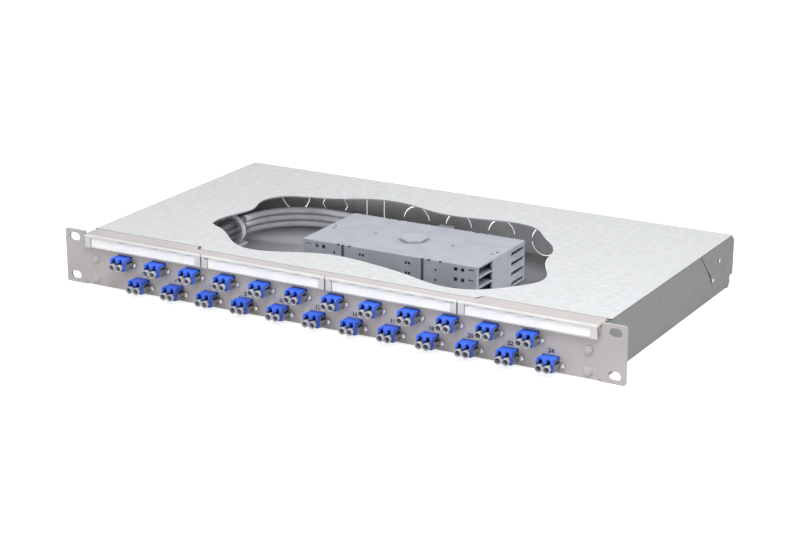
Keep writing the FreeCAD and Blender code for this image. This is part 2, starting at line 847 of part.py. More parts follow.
def splice_tray(number):
    """An open tray with latch holes in its front wall and slanted pockets in its end walls."""
    low = tray_bottom + number * tray_pitch
    high = low + tray_pitch
    outer = block((-tray_half, tray_half), (tray_front, tray_rear), (low, high))
    inner_half = tray_half - tray_wall
    inner = block((-inner_half, inner_half), (tray_front + tray_wall, tray_rear - tray_wall),
                  (low + tray_floor, high + 1))
    boss = flat_profile(ring_at(tray_boss_radius, stud_hole_sides, 0, tray_middle_y), (low, high))
    tray = joined([cornered(outer).cut(inner), boss])
    wall = (tray_front - 1, tray_front + tray_wall + 1)
    groove = (tray_front - 1, tray_front + tray_groove_depth)
    cuts = [stud_hole((low - 1, high + 1))]
    for side in MIRRORED:
        end = (side * (inner_half - 1), side * (tray_half + 1))
        cuts.append(block(end, (tray_front + tray_wall, tray_end_wall_front),
                          (low + tray_floor, high + 1)))
        pocket_low = low + tray_pocket_z
        pocket_high = pocket_low + tray_pocket_height
        pocket = [(tray_pocket_front, pocket_low), (tray_pocket_rear, pocket_low + tray_pocket_rise),
                  (tray_pocket_rear, pocket_high), (tray_pocket_front, pocket_high)]
        cuts.append(side_profile(pocket, end))
        for x in tray_hole_x:
            cuts.append(block((side * (x - tray_hole / 2), side * (x + tray_hole / 2)), wall,
                              (high - tray_hole_drop, high - tray_hole_drop + tray_hole)))
        latch_inner = tray_latch_x - tray_latch_width / 2
        cuts.append(block((side * latch_inner, side * (latch_inner + tray_latch_width)), wall,
                          (high - tray_latch_drop, high - tray_latch_drop + tray_latch_height)))
    for x in tray_groove_x:
        cuts.append(block((x - tray_groove_width / 2, x + tray_groove_width / 2), groove,
                          (low - 1, high + 1)))
    for x in tray_mid_hole_x:
        for side in MIRRORED:
            middle = x + side * tray_mid_hole_spread
            cuts.append(block((middle - tray_mid_hole_width / 2, middle + tray_mid_hole_width / 2), wall,
                              (high - tray_mid_hole_drop,
                               high - tray_mid_hole_drop + tray_mid_hole_height)))
    for x in tray_small_hole_x:
        cuts.append(block((x - tray_small_hole / 2, x + tray_small_hole / 2), wall,
                          (high - tray_small_hole_drop, high - tray_small_hole_drop + tray_small_hole)))
    return without(tray, cuts)


def cassette_lid():
    """The lid's slots take the latches of the hinges, of the locks and of the fibre guides."""
    lid = cornered(block((-tray_half, tray_half), (tray_front, tray_rear), (lid_bottom, lid_top)))
    through = (lid_bottom - 1, lid_top + 1)
    middle = tray_middle_y
    slots = [(lid_oval_x, middle, lid_oval_length, lid_slot_width)]
    for y in (tray_front + lid_edge, tray_rear - lid_edge):
        slots += [(x, y, lid_slot_length, lid_slot_width) for x in lid_slot_x]
    slots += [(lid_lock_x, middle - lid_lock_y, lid_slot_length, lid_slot_width),
              (lid_catch_x, middle + lid_catch_y, lid_slot_width, lid_catch_length)]
    cuts = [stud_hole(through)]
    for x, y, length, width in slots:
        for side in MIRRORED:
            cuts.append(block((side * x - length / 2, side * x + length / 2),
                              (y - width / 2, y + width / 2), through))
    for x in tray_groove_x:
        cuts.append(block((x - tray_groove_width / 2, x + tray_groove_width / 2),
                          (tray_front - 1, tray_front + tray_groove_depth), through))
    return without(lid, cuts)


def stack_stud():
    stud_top = lid_top + nut_height - nut_cap - stud_top_gap
    return drum(stud_radius, point(0, tray_middle_y, 0), point(0, 0, 1), stud_top)


def stack_nut():
    """A flat hexagon nut, closed at the top; it holds the stack on its stud."""
    across_corners = nut_flats / 2 / math.cos(math.pi / 6)
    corners = [point(across_corners * math.cos(math.radians(angle)),
                     tray_middle_y + across_corners * math.sin(math.radians(angle)), lid_top)
               for angle in range(30, 390, 60)]
    prism = extruded(corners, point(0, 0, nut_height))
    rim = [edge for edge in prism.Edges if edge.BoundBox.ZMin > lid_top + nut_height / 2]
    nut = prism.makeChamfer(nut_chamfer, rim)
    return nut.cut(drum(stud_radius + nut_gap, point(0, tray_middle_y, lid_top - 1), point(0, 0, 1),
                        nut_height - nut_cap + 1))


def splice_comb(number):
    """A block with grooves for the splice protectors, on the floor of a tray."""
    low = tray_bottom + number * tray_pitch + tray_floor
    comb = block((-comb_width / 2, comb_width / 2), (comb_y - comb_depth / 2, comb_y + comb_depth / 2),
                 (low, low + comb_height))
    cuts = []
    for groove in range(comb_grooves):
        y = comb_y + (groove - (comb_grooves - 1) / 2) * comb_pitch
        cuts.append(block((-comb_width / 2 - 1, comb_width / 2 + 1),
                          (y - comb_groove_width / 2, y + comb_groove_width / 2),
                          (low + comb_floor, low + comb_height + 1)))
    return comb.cut(Part.makeCompound(cuts))


def level_arc(centre, radius, from_angle, to_angle):
    """An arc of a level circle, given by its start and end angle."""
    spots = []
    for angle in (from_angle, (from_angle + to_angle) / 2, to_angle):
        turn = math.radians(angle)
        spots.append(centre + point(radius * math.cos(turn), radius * math.sin(turn), 0))
    return Part.Arc(spots[0], spots[1], spots[2])


def fibre_tube(number):
    """One tube of the loop: rear run, rear left bend, side run, front left bend, front run."""
    z = tube_first_z + number * tube_pitch
    rear_centre = point(tube_x + tube_rear_bend, tube_rear_y - tube_rear_bend, z)
    front_centre = point(tube_x + tube_front_bend, tube_front_y + tube_front_bend, z)
    start = point(tube_rear_end_x, tube_rear_y, z)
    finish = point(tube_front_end_x, tube_front_y, z)
    rear_reach = point(tube_rear_bend, 0, 0)
    front_reach = point(tube_front_bend, 0, 0)
    runs = [
        Part.LineSegment(start, rear_centre + point(0, tube_rear_bend, 0)),
        level_arc(rear_centre, tube_rear_bend, 90, 180),
        Part.LineSegment(rear_centre - rear_reach, front_centre - front_reach),
        level_arc(front_centre, tube_front_bend, 180, 270),
        Part.LineSegment(front_centre - point(0, tube_front_bend, 0), finish),
    ]
    path = Part.Wire([run.toShape() for run in runs])
    corners = [start + point(0, across, up) for across, up in ring_points(tube_radius, tube_sides)]
    section = Part.makePolygon(corners + corners[:1])
    tube = path.makePipeShell([section], True, False)
    area = Part.Face(section).Area
    print("tube", number + 1, "length", round(path.Length, 1), "bends", tube_rear_bend, tube_front_bend,
          "volume share", round(tube.Volume / (area * path.Length), 4))
    return tube


def tube_ring():
    """An open ring on a foot; it holds the stacked tubes upright."""
    lowest = tube_first_z - tube_radius - ring_gap
    middle_z = lowest + ring_inner
    ring_depth = (ring_y, ring_y + ring_width)
    ring = front_profile(ring_round(ring_outer, ring_sides, tube_x, middle_z), ring_depth)
    mouth = block((tube_x - ring_outer - 1, tube_x - ring_inner + 1),
                  (ring_y - 1, ring_y + ring_width + 1),
                  (middle_z - ring_mouth / 2, middle_z + ring_mouth / 2))
    foot = block((tube_x - ring_foot_width / 2, tube_x + ring_foot_width / 2),
                 (ring_y, ring_y + ring_foot_length), (housing_floor, housing_floor + ring_foot_sheet))
    hollow = front_profile(ring_round(ring_inner, ring_sides, tube_x, middle_z),
                           (ring_y, ring_y + ring_foot_length))
    return joined([ring.cut(mouth), foot]).cut(hollow)


def tube_anchor(end_x, y, inward):
    """A block near one end of the tubes with a bore for each of them."""
    near = end_x + inward * anchor_overrun
    top = tube_first_z + (tube_count - 1) * tube_pitch + tube_radius + anchor_top_wall
    half = tube_radius + anchor_wall
    anchor = block((near, near + inward * anchor_length), (y - half, y + half), (housing_floor, top))
    through = (near - inward, near + inward * (anchor_length + 1))
    bores = []
    for number in range(tube_count):
        z = tube_first_z + number * tube_pitch
        bores.append(side_profile(ring_at(tube_radius + anchor_gap, tube_sides, y, z), through))
    return anchor.cut(Part.makeCompound(bores))


def write(name, solids):
    """Each piece goes to its own file, with the origin in the middle of the rack slots,
    on the rear face of the ears, where the rack rails touch it."""
    shape = solids if isinstance(solids, Part.Shape) else Part.makeCompound(solids)
    shape.translate(point(0, -panel_sheet, -panel_height / 2))
    print(name, "solids", len(shape.Solids), "valid", shape.isValid(), "volume", round(shape.Volume, 1))
    shape.exportStep(os.path.join("parts", name + ".step"))


def main():
    os.makedirs("parts", exist_ok=True)
    places = adaptor_places()
    pieces = {
        "front_panel": front_panel(),
        "base_tray": base_tray(),
        "cover": cover(),
        "cover_guides": [cover_guide(side) for side in MIRRORED],
        "guide_studs": [guide_stud(side) for side in MIRRORED],
        "panel_screws": [plate_screw(x, z) for x, z in plate_screw_places()],
        "side_rivets": [side_rivet(side) for side in MIRRORED],
        "label_lugs": label_lugs(),
        "adaptor_clips": [adaptor_clip(x, z) for x, z in places],
        "rear_plugs": [plug for x, z in places for plug in rear_plugs(x, z)],
        "cassette_lid": cassette_lid(),
        "stack_stud": stack_stud(),
        "stack_nut": stack_nut(),
        "splice_combs": [splice_comb(number) for number in range(tray_count)],
        "tube_ring": tube_ring(),
        "tube_anchors": [tube_anchor(tube_rear_end_x, tube_rear_y, -1),
                         tube_anchor(tube_front_end_x, tube_front_y, -1)],
    }
    for number in range(label_count):
        pieces["label_frame_%d" % (number + 1)] = label_frame(number)
        pieces["label_card_%d" % (number + 1)] = label_card_piece(number)
        group = places[number * 6:number * 6 + 6]
        pieces["adaptors_%d" % (number + 1)] = [adaptor(x, z) for x, z in group]
    for number, (x, z) in enumerate(places):
        pieces["dust_cap_%02d" % (number + 1)] = dust_cap(x, z)
    for number in range(tray_count):
        pieces["splice_tray_%d" % (number + 1)] = splice_tray(number)
    for number in range(tube_count):
        pieces["fibre_tube_%d" % (number + 1)] = fibre_tube(number)
    for name, solids in pieces.items():
        write(name, solids)
    print("nodes", len(pieces))


main()
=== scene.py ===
import json
import math

import bmesh
import bpy
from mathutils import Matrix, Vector


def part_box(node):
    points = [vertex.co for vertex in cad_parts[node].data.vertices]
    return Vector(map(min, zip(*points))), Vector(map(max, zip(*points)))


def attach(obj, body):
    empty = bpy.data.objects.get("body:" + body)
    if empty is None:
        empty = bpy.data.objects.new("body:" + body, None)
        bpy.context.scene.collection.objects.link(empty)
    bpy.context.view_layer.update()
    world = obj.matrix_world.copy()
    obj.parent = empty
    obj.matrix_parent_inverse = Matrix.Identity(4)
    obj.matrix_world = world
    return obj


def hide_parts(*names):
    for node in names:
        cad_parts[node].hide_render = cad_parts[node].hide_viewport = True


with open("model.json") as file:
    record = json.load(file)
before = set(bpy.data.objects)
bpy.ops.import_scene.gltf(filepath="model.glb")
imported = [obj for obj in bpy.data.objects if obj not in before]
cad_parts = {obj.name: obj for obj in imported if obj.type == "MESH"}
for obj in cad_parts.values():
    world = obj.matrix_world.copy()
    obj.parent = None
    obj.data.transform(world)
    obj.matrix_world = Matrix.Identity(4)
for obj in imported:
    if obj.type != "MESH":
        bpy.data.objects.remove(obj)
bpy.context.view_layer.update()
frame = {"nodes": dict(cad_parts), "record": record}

MM = 0.001
MIRRORED = (-1, 1)
UP = Vector((0, 0, 1))

# Camera: place in metres, angles in degrees, lens and sensor in millimetres
CAMERA_PLACE = (0.79571, -1.30365, 0.51722)
CAMERA_TURN = 29.406
CAMERA_ELEVATION = 18.017
CAMERA_LENS = 97.706
SENSOR_WIDTH = 36.0
CLIP_START = 0.01
CLIP_END = 50

# Sizes in millimetres, measured from the middle of the rack slots
PLATE_FRONT = -2.0
FLOOR_Z = -21.8
ADAPTOR_COUNT = 24
ADAPTORS_PER_NODE = 6
ADAPTOR_PITCH = 16.0
ADAPTOR_FIRST_X = -184.0
ADAPTOR_LOW_Z = -13.4
ADAPTOR_HIGH_Z = 2.6

# The x and z of each adaptor's middle, from the left; the odd ports sit in the upper row
ADAPTOR_PLACES = [
    (ADAPTOR_FIRST_X + number * ADAPTOR_PITCH, ADAPTOR_LOW_Z if number % 2 else ADAPTOR_HIGH_Z)
    for number in range(ADAPTOR_COUNT)
]


def link_object(name, data):
    piece = bpy.data.objects.new(name, data)
    bpy.context.scene.collection.objects.link(piece)
    return piece


# Materials

SHEET_ROUGHNESS = 0.5
SHEET_METAL = 0.1
SHEET_TURN = (0, 0, 0.05)
CAP_TRANSMISSION = 0.3
CAP_SUBSURFACE = 0.15
CAP_SUBSURFACE_DEPTH = 0.0008

# Grain of mouldings: features per metre and depth in metres
FINE_GRAIN = (1500, 0.00003)
COARSE_GRAIN = (1100, 0.00005)

# Mouldings: the darker and the lighter colour, the roughness and the grain
MOULDINGS = {
    "label_plastic": ((202, 202, 201), (211, 211, 210), 0.38, FINE_GRAIN),
    "adaptor_plastic": ((50, 99, 228), (63, 113, 243), 0.34, FINE_GRAIN),
    "cap_plastic": ((196, 198, 206), (210, 212, 219), 0.25, FINE_GRAIN),
    "tray_plastic": ((160, 162, 171), (168, 170, 180), 0.5, COARSE_GRAIN),
    # The nut's plastic: a lighter copy of the tray plastic, painted light on its sides
    "nut_plastic_lit": ((166, 168, 178), (174, 176, 186), 0.45, FINE_GRAIN),
    # The ring's plastic: darker grey, painted shade where a lamp beside it lights it strongly
    "ring_plastic_shaded": ((158, 159, 163), (168, 169, 173), 0.45, FINE_GRAIN),
    "clip_plastic": ((196, 196, 197), (208, 208, 209), 0.42, FINE_GRAIN),
    "tube_plastic": ((98, 99, 103), (110, 111, 115), 0.3, FINE_GRAIN),
}

# Painted shade in grooves and holes: its reach in metres and how strongly it darkens them
CREVICE_SHADE_SAMPLES = 8
CREVICE_PAINTED_SHADE = {
    "tray_plastic": (0.003, 2.4),
    "adaptor_plastic": (0.003, 1.5),
    "label_plastic": (0.0015, 1.2),
    "cap_plastic": (0.003, 0.25),
}

# The upward part of a face's normal up to which it is steep, and from which it is level
STEEP_NORMAL = 0.3
LEVEL_NORMAL = 0.8

# The share of the colour that steep faces and level faces take: painted shade on the cover's cut
# edges and on the tray's level faces
SLOPE_PAINTED_SHADE = {
    "cover_steel_lit": (0.3, 1.0),
    "tray_steel_shaded": (1.0, 0.75),
}

# Nodes and slots whose look has another name than the slot
NODE_LOOKS = {"cover": "cover_steel_lit", "stack_nut": "nut_plastic_lit", "tube_ring": "ring_plastic_shaded"}
# The housing steel takes the darker copy of the cover's steel, which is painted shade
SLOT_LOOKS = {"housing_steel": "tray_steel_shaded"}


def linear(value):
    """A display value from 0 to 1 as a linear one."""
    return value / 12.92 if value <= 0.04045 else ((value + 0.055) / 1.055) ** 2.4


def colour(red, green, blue):
    """A colour given as 0 to 255 display values, for a shader socket."""
    return (linear(red / 255), linear(green / 255), linear(blue / 255), 1.0)


def shader_of(material):
    return material.node_tree.nodes["Principled BSDF"]


def surface(name, base, rough, metal=0.0):
    """A material with its shader; the helpers below add its detail."""
    material = bpy.data.materials.new(name)
    material.use_nodes = True
    shader = shader_of(material)
    shader.inputs["Base Color"].default_value = base
    shader.inputs["Roughness"].default_value = rough
    shader.inputs["Metallic"].default_value = metal
    return material


def noise(material, scale, stretch=(1, 1, 1), detail=3.0, turn=(0, 0, 0)):
    """Noise in the object's own coordinates; scale is in features per metre."""
    nodes = material.node_tree.nodes
    links = material.node_tree.links
    place = nodes.new("ShaderNodeTexCoord")
    mapping = nodes.new("ShaderNodeMapping")
    mapping.inputs["Scale"].default_value = stretch
    mapping.inputs["Rotation"].default_value = turn
    texture = nodes.new("ShaderNodeTexNoise")
    texture.inputs["Scale"].default_value = scale
    texture.inputs["Detail"].default_value = detail
    links.new(place.outputs["Object"], mapping.inputs["Vector"])
    links.new(mapping.outputs["Vector"], texture.inputs["Vector"])
    return texture.outputs["Fac"]


def vary_colour(material, factor, low, high, span=(0.35, 0.65)):
    """The colour runs from low to high where the factor crosses the span."""
    links = material.node_tree.links
    ramp = material.node_tree.nodes.new("ShaderNodeValToRGB")
    for element, position, shade in zip(ramp.color_ramp.elements, span, (low, high)):
        element.position = position
        element.color = shade
    links.new(factor, ramp.inputs["Fac"])
    links.new(ramp.outputs["Color"], shader_of(material).inputs["Base Color"])


def vary_roughness(material, factor, low, high):
    links = material.node_tree.links
    span = material.node_tree.nodes.new("ShaderNodeMapRange")
    span.inputs["To Min"].default_value = low
    span.inputs["To Max"].default_value = high
    links.new(factor, span.inputs["Value"])
    links.new(span.outputs["Result"], shader_of(material).inputs["Roughness"])


def bump(material, factor, strength, distance):
    links = material.node_tree.links
    node = material.node_tree.nodes.new("ShaderNodeBump")
    node.inputs["Strength"].default_value = strength
    node.inputs["Distance"].default_value = distance
    links.new(factor, node.inputs["Height"])
    links.new(node.outputs["Normal"], shader_of(material).inputs["Normal"])


def plate_paint():
    material = surface("plate_paint", colour(182, 177, 176), rough=0.42)
    vary_colour(material, noise(material, scale=30), colour(178, 173, 172), colour(185, 180, 179))
    grain = noise(material, scale=2600, detail=2.0)
    vary_roughness(material, grain, low=0.36, high=0.52)
    bump(material, grain, strength=0.12, distance=0.00004)
    return material


def sheet_steel(name, low, high):
    """Galvanised sheet with short streaks along its width and fine grain."""
    material = surface(name, high, SHEET_ROUGHNESS, SHEET_METAL)
    dashes = noise(material, scale=150, stretch=(1.0, 4.0, 0.6), detail=2.0, turn=SHEET_TURN)
    vary_colour(material, dashes, low, high, span=(0.32, 0.68))
    grain = noise(material, scale=420, stretch=(0.4, 3.0, 1.0), detail=3.0, turn=SHEET_TURN)
    vary_roughness(material, grain, low=SHEET_ROUGHNESS - 0.08, high=SHEET_ROUGHNESS + 0.12)
    bump(material, grain, strength=0.10, distance=0.00005)
    return material


def bare_steel(name, base, low, high, rough, spread, metal):
    """Bright steel; its roughness varies by the spread both ways."""
    material = surface(name, base, rough, metal)
    grain = noise(material, scale=900, detail=4.0)
    vary_colour(material, grain, low, high)
    vary_roughness(material, grain, rough - spread, rough + spread)
    return material


def moulding(name, low, high, rough, grain_size):
    scale, depth = grain_size
    material = surface(name, colour(*high), rough)
    vary_colour(material, noise(material, scale=60), colour(*low), colour(*high))
    grain = noise(material, scale, detail=2.0)
    vary_roughness(material, grain, low=rough - 0.06, high=rough + 0.08)
    bump(material, grain, strength=0.1, distance=depth)
    return material


def make_milky(material):
    """Lets some light through, as thin pale plastic does."""
    shader = shader_of(material)
    shader.inputs["Transmission Weight"].default_value = CAP_TRANSMISSION
    shader.inputs["Subsurface Weight"].default_value = CAP_SUBSURFACE
    shader.inputs["Subsurface Radius"].default_value = (1.0, 1.0, 1.0)
    shader.inputs["Subsurface Scale"].default_value = CAP_SUBSURFACE_DEPTH


def label_paper():
    material = surface("label_paper", colour(250, 250, 249), rough=0.75)
    fibres = noise(material, scale=900, stretch=(1, 1, 0.4), detail=5.0)
    vary_colour(material, fibres, colour(251, 251, 250), colour(255, 255, 254))
    bump(material, fibres, strength=0.08, distance=0.00002)
    return material


def ink():
    material = surface("number_ink", colour(34, 33, 36), rough=0.6)
    vary_colour(material, noise(material, scale=2000), colour(28, 27, 30), colour(42, 41, 44))
    return material


def scale_colour(material, factor):
    """Multiplies the material's colour by a value from 0 to 1."""
    links = material.node_tree.links
    target = shader_of(material).inputs["Base Color"]
    mix = material.node_tree.nodes.new("ShaderNodeMixRGB")
    mix.blend_type = "MULTIPLY"
    mix.inputs["Fac"].default_value = 1.0
    links.new(target.links[0].from_socket, mix.inputs["Color1"])
    links.new(factor, mix.inputs["Color2"])
    links.new(mix.outputs[0], target)


def shade_crevices(material, reach, depth):
    """Paints shade into grooves and holes narrower than the reach, so that they come out darker."""
    nodes = material.node_tree.nodes
    occlusion_shade = nodes.new("ShaderNodeAmbientOcclusion")
    occlusion_shade.inputs["Distance"].default_value = reach
    occlusion_shade.samples = CREVICE_SHADE_SAMPLES
    power = nodes.new("ShaderNodeMath")
    power.operation = "POWER"
    power.inputs[1].default_value = depth
    material.node_tree.links.new(occlusion_shade.outputs["AO"], power.inputs[0])
    scale_colour(material, power.outputs[0])


def shade_by_slope(material, steep_share, level_share):
    """Paints shade by slope: steep faces, such as the cut edges of a level sheet, and level faces
    take their share.
    """
    nodes = material.node_tree.nodes
    links = material.node_tree.links
    geometry = nodes.new("ShaderNodeNewGeometry")
    parts = nodes.new("ShaderNodeSeparateXYZ")
    level = nodes.new("ShaderNodeMath")
    level.operation = "ABSOLUTE"
    span = nodes.new("ShaderNodeMapRange")
    span.inputs["From Min"].default_value = STEEP_NORMAL
    span.inputs["From Max"].default_value = LEVEL_NORMAL
    span.inputs["To Min"].default_value = steep_share
    span.inputs["To Max"].default_value = level_share
    links.new(geometry.outputs["True Normal"], parts.inputs[0])
    links.new(parts.outputs["Z"], level.inputs[0])
    links.new(level.outputs[0], span.inputs["Value"])
    scale_colour(material, span.outputs["Result"])


def make_materials():
    looks = {name: moulding(name, *settings) for name, settings in MOULDINGS.items()}
    make_milky(looks["cap_plastic"])
    looks["plate_paint"] = plate_paint()
    # One galvanised steel in two copies: the cover's lighter one holds painted light, the tray's
    # darker one painted shade
    looks["cover_steel_lit"] = sheet_steel("cover_steel_lit", colour(191, 193, 195), colour(209, 211, 213))
    looks["tray_steel_shaded"] = sheet_steel("tray_steel_shaded", colour(127, 128, 130), colour(134, 135, 137))
    looks["fastener_steel"] = bare_steel(
        "fastener_steel", colour(205, 205, 207), colour(188, 188, 190), colour(216, 216, 218),
        rough=0.26, spread=0.08, metal=0.9)
    looks["spring_steel"] = bare_steel(
        "spring_steel", colour(160, 160, 163), colour(150, 150, 153), colour(168, 168, 171),
        rough=0.45, spread=0.07, metal=0.7)
    looks["label_paper"] = label_paper()
    looks["ink"] = ink()
    # Painted shade in grooves and holes
    for name, (reach, depth) in CREVICE_PAINTED_SHADE.items():
        shade_crevices(looks[name], reach, depth)
    # Painted shade on steep or level faces
    for name, (steep_share, level_share) in SLOPE_PAINTED_SHADE.items():
        shade_by_slope(looks[name], steep_share, level_share)
    return looks


def dress_frame(looks):
    """Each carried-over node takes the look of its slot, or its own where it has one."""
    for part in frame["record"]["subparts"]:
        node = part["node"]
        slot = part["material_slot"]
        look = looks[NODE_LOOKS.get(node, SLOT_LOOKS.get(slot, slot))]
        materials = frame["nodes"][node].data.materials
        materials.clear()
        materials.append(look)


# Mesh builders

CRISP_ANGLE = 0.9

# The sides of a grid's cell: the step to the next cell and the four corners in between
CELL_SIDES = [
    ((-1, 0, 0), [(0, 0, 0), (0, 0, 1), (0, 1, 1), (0, 1, 0)]),
    ((1, 0, 0), [(1, 0, 0), (1, 1, 0), (1, 1, 1), (1, 0, 1)]),
    ((0, -1, 0), [(0, 0, 0), (1, 0, 0), (1, 0, 1), (0, 0, 1)]),
    ((0, 1, 0), [(0, 1, 0), (0, 1, 1), (1, 1, 1), (1, 1, 0)]),
    ((0, 0, -1), [(0, 0, 0), (0, 1, 0), (1, 1, 0), (1, 0, 0)]),
    ((0, 0, 1), [(0, 0, 1), (1, 0, 1), (1, 1, 1), (0, 1, 1)]),
]


def cell_faces(mesh, breaks, solid, shift=(0, 0, 0)):
    """Faces between filled and empty cells of a grid; solid says if a cell's middle is filled."""
    xs, ys, zs = breaks
    corners = {}

    def corner(i, j, k):
        if (i, j, k) not in corners:
            spot = Vector((xs[i] + shift[0], ys[j] + shift[1], zs[k] + shift[2])) * MM
            corners[(i, j, k)] = mesh.verts.new(spot)
        return corners[(i, j, k)]

    def filled(i, j, k):
        if not (0 <= i < len(xs) - 1 and 0 <= j < len(ys) - 1 and 0 <= k < len(zs) - 1):
            return False
        return solid((xs[i] + xs[i + 1]) / 2, (ys[j] + ys[j + 1]) / 2, (zs[k] + zs[k + 1]) / 2)

    for i in range(len(xs) - 1):
        for j in range(len(ys) - 1):
            for k in range(len(zs) - 1):
                if not filled(i, j, k):
                    continue
                for (di, dj, dk), ring in CELL_SIDES:
                    if not filled(i + di, j + dj, k + dk):
                        mesh.faces.new([corner(i + a, j + b, k + c) for a, b, c in ring])


def turned_faces(mesh, outline, centre, sides):
    """A closed outline of (radius, y) pairs turned round the y axis through centre."""
    rings = []
    for radius, along in outline:
        middle = Vector((centre[0], centre[1] + along, centre[2]))
        if radius == 0:
            rings.append([mesh.verts.new(middle * MM)])
            continue
        ring = []
        for number in range(sides):
            turn = 2 * math.pi * number / sides
            offset = Vector((radius * math.sin(turn), 0, radius * math.cos(turn)))
            ring.append(mesh.verts.new((middle + offset) * MM))
        rings.append(ring)
    for first, second in zip(rings, rings[1:]):
        for number in range(sides):
            after = (number + 1) % sides
            if len(first) == 1:
                mesh.faces.new([first[0], second[after], second[number]])
            elif len(second) == 1:
                mesh.faces.new([first[number], first[after], second[0]])
            else:
                mesh.faces.new([first[number], first[after], second[after], second[number]])


def finished(name, mesh, look, body, bevel=0.0, segments=2):
    """Turns a bmesh into a smooth piece that rides on its body."""
    bmesh.ops.recalc_face_normals(mesh, faces=mesh.faces)
    data = bpy.data.meshes.new(name)
    mesh.to_mesh(data)
    mesh.free()
    data.materials.append(look)
    for face in data.polygons:
        face.use_smooth = True
    piece = link_object(name, data)
    if bevel:
        modifier = piece.modifiers.new("edges", "BEVEL")
        modifier.width = bevel * MM
        modifier.segments = segments
        modifier.limit_method = "ANGLE"
        modifier.harden_normals = True
    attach(piece, body)
    return piece


def keep_edges_crisp(piece):
    """Edges sharper than the crisp angle, in radians, stay sharp under smooth shading."""
    mesh = bmesh.new()
    mesh.from_mesh(piece.data)
    for edge in mesh.edges:
        if len(edge.link_faces) == 2 and edge.calc_face_angle(0.0) > CRISP_ANGLE:
            edge.smooth = False
    mesh.to_mesh(piece.data)
    mesh.free()


def both(values):
    """The values and their negatives, in order."""
    return sorted({side * value for value in values for side in MIRRORED})


# Adaptors, in x and z measured from each adaptor's middle

ADAPTOR_HALF_WIDTH = 6.5
ADAPTOR_HALF_HEIGHT = 4.6
ADAPTOR_FRONT = -13.0
ADAPTOR_REAR = 10.4
ADAPTOR_BEVEL = 0.16
PORT_X = 3.125
PORT_Z = -1.7
PORT_HALF = 2.4
PORT_CEILING = 1.6
PORT_DEPTH = 9.6
LATCH_HALF = 1.5
LATCH_TOP = 3.4
LATCH_NOTCH = 1.9
FLANGE_HALF = 11.0
FLANGE_REAR = 1.8
FERRULE_HALF = 1.25
TOP_RECESS_Z = 4.35
TOP_RECESS_HALF = 4.9
TOP_RECESS_FRONT = -9.4
TOP_RECESS_REAR = -4.0
CORNER_NOTCH_FRONT = -4.1
CORNER_NOTCH_REAR = -2.6
CORNER_NOTCH_X = 5.3
CORNER_NOTCH_Z = 3.7
SIDE_RECESS_X = 5.7
SIDE_RECESS_LOW = 0.4
SIDE_RECESS_HIGH = 2.1
TONGUE_FRONT = -9.6
TONGUE_REAR = -3.2
FLAT_ANGLE = 0.01


def adaptor_solid(x, y, z):
    """Says if the adaptor is filled there."""
    if abs(z) > ADAPTOR_HALF_HEIGHT:
        return False
    if abs(x) > ADAPTOR_HALF_WIDTH:
        return abs(x) < FLANGE_HALF and 0 < y < FLANGE_REAR
    across = abs(abs(x) - PORT_X)
    in_port = across < PORT_HALF
    in_latch = across < LATCH_HALF
    in_front = y < ADAPTOR_FRONT + PORT_DEPTH
    in_rear = y > ADAPTOR_REAR - PORT_DEPTH
    in_side_recess = abs(x) > SIDE_RECESS_X and SIDE_RECESS_LOW < z < SIDE_RECESS_HIGH
    in_top_recess = abs(x) < TOP_RECESS_HALF and z > TOP_RECESS_Z
    in_corner_notch = abs(x) > CORNER_NOTCH_X and z > CORNER_NOTCH_Z
    hollows = [
        in_rear and in_port and abs(z - PORT_Z) < PORT_HALF,
        in_front and in_port and PORT_Z - PORT_HALF < z < PORT_CEILING,
        in_front and in_latch and PORT_Z < z < LATCH_TOP,
        y < ADAPTOR_FRONT + LATCH_NOTCH and in_latch and z > LATCH_TOP,
        across < FERRULE_HALF and abs(z - PORT_Z) < FERRULE_HALF,
        in_side_recess and TONGUE_FRONT < y < TONGUE_REAR,
        in_top_recess and TOP_RECESS_FRONT < y < TOP_RECESS_REAR,
        in_corner_notch and CORNER_NOTCH_FRONT < y < CORNER_NOTCH_REAR,
    ]
    return not any(hollows)


